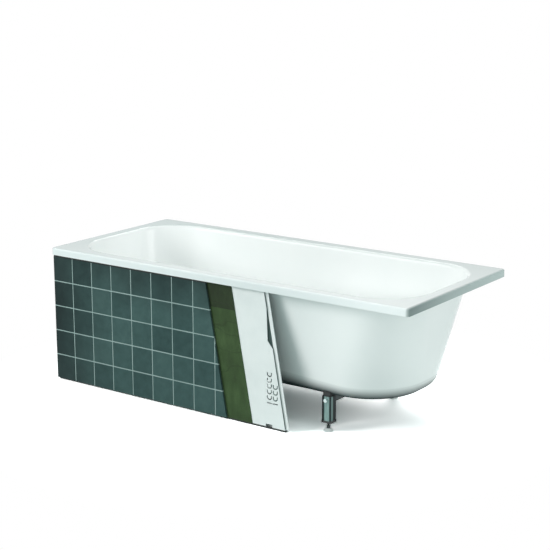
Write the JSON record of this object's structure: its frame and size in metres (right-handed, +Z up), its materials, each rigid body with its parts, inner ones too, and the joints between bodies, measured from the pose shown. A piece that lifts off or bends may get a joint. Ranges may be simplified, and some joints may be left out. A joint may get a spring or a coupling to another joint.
{
  "type": "bathtub",
  "caption": "Built-in enamelled steel bathtub on screw feet, with a cut-away tiled front, a waste with trap, and an overflow knob that lifts the plug.",
  "frame": {"origin": "on the floor under the middle of the rim", "axes": "+X along the length towards the head end, -Y towards the tiled front, +Z up"},
  "size_m": [1.6, 0.7, 0.535],
  "materials": {
    "enamel": "gloss white enamel",
    "board_white": "satin white coating",
    "zinc": "bright zinc",
    "dark_steel": "dark zinc",
    "leg_steel": "dull grey-green zinc",
    "black_rubber": "matt",
    "mat_black": "bitumen",
    "black_plastic": "matt",
    "white_plastic": "satin",
    "grey_plastic": "satin",
    "chrome": "polished",
    "tile_glaze": "satin dark teal grey glaze",
    "grout": "matt light grey",
    "membrane_green": "matt olive green",
    "tape_green": "matt dark olive green",
    "adhesive": "matt dark grey"
  },
  "bodies": {
    "tub": {"earth_fasteners": "zinc", "earth_lug": "zinc", "edge_gasket": "black_rubber", "edge_profile": "board_white", "floor_angle_screws": "zinc", "floor_angles": "zinc", "floor_strip": "black_rubber", "front_board": "board_white", "leg_bolt_nuts": "zinc", "leg_bolts": "zinc", "leg_foot_front": "leg_steel", "leg_foot_rear": "leg_steel", "leg_head_front": "leg_steel", "leg_head_rear": "leg_steel", "leg_nuts": "zinc", "leg_soles": "black_plastic", "membrane": "membrane_green", "outlet_pipe": "grey_plastic", "overflow_body": "white_plastic", "overflow_flange": "white_plastic", "overflow_gasket": "black_rubber", "overflow_pipe": "white_plastic", "overflow_seal": "black_rubber", "rail_foot": "dark_steel", "rail_head": "dark_steel", "rail_nuts": "zinc", "rail_pads": "black_rubber", "rail_saddles": "black_rubber", "rail_studs": "zinc", "rim_bracket_screws": "zinc", "rim_brackets": "zinc", "rim_seal": "black_rubber", "sealing_tape": "tape_green", "sound_mats": "mat_black", "tile_adhesive": "adhesive", "tile_grout": "grout", "trap": "white_plastic", "tub_shell": "enamel", "union_nuts": "grey_plastic", "wall_tiles": "tile_glaze", "waste_body": "white_plastic", "waste_flange": "chrome", "waste_flange_seal": "black_rubber", "waste_gasket": "black_rubber"},
    "foot_head_front": {"foot_pad_head_front": "white_plastic"},
    "spindle_head_front": {"foot_spindle_head_front": "dark_steel"},
    "foot_head_rear": {"foot_pad_head_rear": "white_plastic"},
    "spindle_head_rear": {"foot_spindle_head_rear": "dark_steel"},
    "foot_foot_front": {"foot_pad_foot_front": "white_plastic"},
    "spindle_foot_front": {"foot_spindle_foot_front": "dark_steel"},
    "foot_foot_rear": {"foot_pad_foot_rear": "white_plastic"},
    "spindle_foot_rear": {"foot_spindle_foot_rear": "dark_steel"},
    "knob": {"overflow_knob": "chrome"},
    "plug": {"drain_plug": "chrome", "plug_seal": "black_rubber"}
  },
  "joints": [
    {"name": "foot_lift_head_front", "type": "slide", "parent": "tub", "child": "foot_head_front", "axis": [0, 0, 1], "range_m": [-0.03, 0.01]},
    {"name": "spindle_turn_head_front", "type": "hinge", "parent": "foot_head_front", "child": "spindle_head_front", "pos_m": [0.412, -0.225, 0], "axis": [0, 0, 1], "range_deg": [-7224, 2424]},
    {"name": "foot_lift_head_rear", "type": "slide", "parent": "tub", "child": "foot_head_rear", "axis": [0, 0, 1], "range_m": [-0.03, 0.01]},
    {"name": "spindle_turn_head_rear", "type": "hinge", "parent": "foot_head_rear", "child": "spindle_head_rear", "pos_m": [0.412, 0.225, 0], "axis": [0, 0, 1], "range_deg": [-7224, 2424]},
    {"name": "foot_lift_foot_front", "type": "slide", "parent": "tub", "child": "foot_foot_front", "axis": [0, 0, 1], "range_m": [-0.03, 0.01]},
    {"name": "spindle_turn_foot_front", "type": "hinge", "parent": "foot_foot_front", "child": "spindle_foot_front", "pos_m": [-0.412, -0.225, 0], "axis": [0, 0, 1], "range_deg": [-7224, 2424]},
    {"name": "foot_lift_foot_rear", "type": "slide", "parent": "tub", "child": "foot_foot_rear", "axis": [0, 0, 1], "range_m": [-0.03, 0.01]},
    {"name": "spindle_turn_foot_rear", "type": "hinge", "parent": "foot_foot_rear", "child": "spindle_foot_rear", "pos_m": [-0.412, 0.225, 0], "axis": [0, 0, 1], "range_deg": [-7224, 2424]},
    {"name": "knob_turn", "type": "hinge", "parent": "tub", "child": "knob", "pos_m": [-0.72452, 0, 0.405], "axis": [0.9813, 0, 0.1924], "range_deg": [0, 90]},
    {"name": "plug_lift", "type": "slide", "parent": "tub", "child": "plug", "axis": [0, 0, 1], "range_m": [0, 0.0101]}
  ],
  "couplings": [
    {"joint": "spindle_turn_head_front", "follows": "foot_lift_head_front", "rad_per_m": 4188.8},
    {"joint": "spindle_turn_head_rear", "follows": "foot_lift_head_rear", "rad_per_m": 4188.8},
    {"joint": "spindle_turn_foot_front", "follows": "foot_lift_foot_front", "rad_per_m": 4188.8},
    {"joint": "spindle_turn_foot_rear", "follows": "foot_lift_foot_rear", "rad_per_m": 4188.8},
    {"joint": "plug_lift", "follows": "knob_turn", "m_per_rad": 0.0063662}
  ]
}
